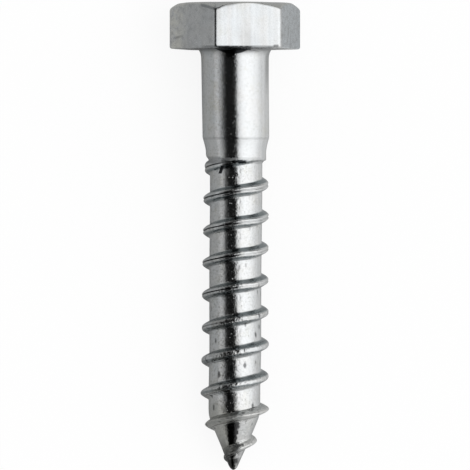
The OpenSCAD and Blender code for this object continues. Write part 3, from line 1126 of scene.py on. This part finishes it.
def build_world(stage):
    """Even light, a white backdrop for the camera, and a strip light with a dark gap for the plate."""
    world = bpy.data.worlds.new("studio")
    bpy.context.scene.world = world
    world.use_nodes = True
    s = Shader(world.node_tree)
    to_camera, right, up = view_axes(stage)
    direction = s.node("ShaderNodeTexCoord")["Generated"]
    ahead = s.dot(direction, to_camera)
    along = s.dot(direction, up)
    side = s.number("ARCTAN2", s.dot(direction, right), ahead)
    # Towards the point's end of the studio the strips bend so that the cone mirrors them like the core
    bent = s.number("ARCTAN2", s.dot(direction, right), ahead + 1.0) * 2
    side = side + (bent - side) * s.step(ahead, 0.0, 0.3) * s.greater(0.0, along)
    lower = s.step(-along, 0.35, 0.8)
    place = side / (2 * math.pi) + 0.5
    stops = [(0.5 + degrees / 360, level / BRIGHTEST) for degrees, level in STUDIO]
    strip = s.node("ShaderNodeValToRGB", {"stops": stops}, {"Fac": place})["Color"]
    behind = s.step(-ahead, -0.35, 0.1)
    headward = s.step(along, 0.3, 0.85) * (0.45 + behind * 0.55)
    endward = s.step(-along, 0.9, 0.98)
    right_low = lower * s.step(side, 0.0, 0.2)
    fall = (1 - headward * 0.88) * (1 - endward * 0.9) * (1 - right_low * 0.5)
    path = s.node("ShaderNodeLightPath")
    mirror = s.node("ShaderNodeBackground", None, {"Color": strip, "Strength": fall * BRIGHTEST})
    even = s.node("ShaderNodeBackground", None, {"Color": (1, 1, 1, 1), "Strength": stage.sky_light})
    level = mix((stage.sky_light + stage.lamp_light) * stage.floor[0], 1.0, stage.paling)
    backdrop = s.node("ShaderNodeBackground", None, {"Color": (1, 1, 1, 1), "Strength": level})
    lit = s.mix_shaders(path["Is Glossy Ray"], even["Background"], mirror["Background"])
    seen = s.mix_shaders(path["Is Camera Ray"], lit, backdrop["Background"])
    s.node("ShaderNodeOutputWorld", None, {"Surface": seen})


def build_lamp(stage):
    """One broad soft lamp overhead, which the plate doesn't mirror."""
    data = bpy.data.lights.new("overhead lamp", "SUN")
    data.energy = stage.lamp_light * math.pi
    data.angle = math.radians(70)
    lamp = bpy.data.objects.new("overhead lamp", data)
    bpy.context.scene.collection.objects.link(lamp)
    lamp.rotation_euler = (math.radians(8), math.radians(10), 0)
    lamp.visible_glossy = False


def build_camera(stage):
    to_camera, right, up = view_axes(stage)
    data = bpy.data.cameras.new("camera")
    data.sensor_width = 36
    data.lens = data.sensor_width * stage.camera_distance / stage.view_width
    data.clip_start, data.clip_end = 0.05, 20
    camera = bpy.data.objects.new("camera", data)
    bpy.context.scene.collection.objects.link(camera)
    aim = neck + down * stage.view_middle
    turn = Matrix((right, up, to_camera)).transposed().to_4x4()
    camera.matrix_world = Matrix.Translation(aim + to_camera * stage.camera_distance) @ turn
    bpy.context.scene.camera = camera


# ---- Operators, panel and registration -----------------------------------------------
class LAGSCREW_OT_screw(bpy.types.Operator):
    """Build the whole screw, from its head to its point"""

    bl_idname = "lagscrew.screw"
    bl_label = "Screw"

    def execute(self, context):
        scene = context.scene
        mesh = screw_mesh(scene.lag_screw_form)
        mesh.materials.append(zinc_material(scene.lag_screw_form, scene.lag_screw_finish))
        screw = bpy.data.objects.new("lag_screw_plated", mesh)
        scene.collection.objects.link(screw)
        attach(screw, BODY)
        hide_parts(NODE)
        return {"FINISHED"}


class LAGSCREW_OT_stage(bpy.types.Operator):
    """Build the floor, the light and the camera"""

    bl_idname = "lagscrew.stage"
    bl_label = "Stage"

    def execute(self, context):
        stage = context.scene.lag_screw_stage
        build_floor(stage)
        build_world(stage)
        build_lamp(stage)
        build_camera(stage)
        context.scene.view_settings.view_transform = "Standard"
        return {"FINISHED"}


class LAGSCREW_PT_panel(bpy.types.Panel):
    """Lists the operators and the sizes"""

    bl_idname = "LAGSCREW_PT_panel"
    bl_label = "Lag Screw"
    bl_space_type = "VIEW_3D"
    bl_region_type = "UI"
    bl_category = "Lag Screw"

    def draw(self, context):
        layout = self.layout
        layout.operator(LAGSCREW_OT_screw.bl_idname)
        layout.operator(LAGSCREW_OT_stage.bl_idname)
        for group in ("lag_screw_form", "lag_screw_finish", "lag_screw_stage"):
            settings = getattr(context.scene, group)
            box = layout.box()
            for name in settings.__annotations__:
                box.prop(settings, name)


CLASSES = (
    LagScrewForm,
    LagScrewFinish,
    LagScrewStage,
    LAGSCREW_OT_screw,
    LAGSCREW_OT_stage,
    LAGSCREW_PT_panel,
)


def register():
    for cls in CLASSES:
        bpy.utils.register_class(cls)
    bpy.types.Scene.lag_screw_form = PointerProperty(type=LagScrewForm)
    bpy.types.Scene.lag_screw_finish = PointerProperty(type=LagScrewFinish)
    bpy.types.Scene.lag_screw_stage = PointerProperty(type=LagScrewStage)


def unregister():
    del bpy.types.Scene.lag_screw_stage
    del bpy.types.Scene.lag_screw_finish
    del bpy.types.Scene.lag_screw_form
    for cls in reversed(CLASSES):
        bpy.utils.unregister_class(cls)


def main():
    register()
    bpy.ops.lagscrew.screw()
    bpy.ops.lagscrew.stage()


if __name__ == "__main__":
    main()
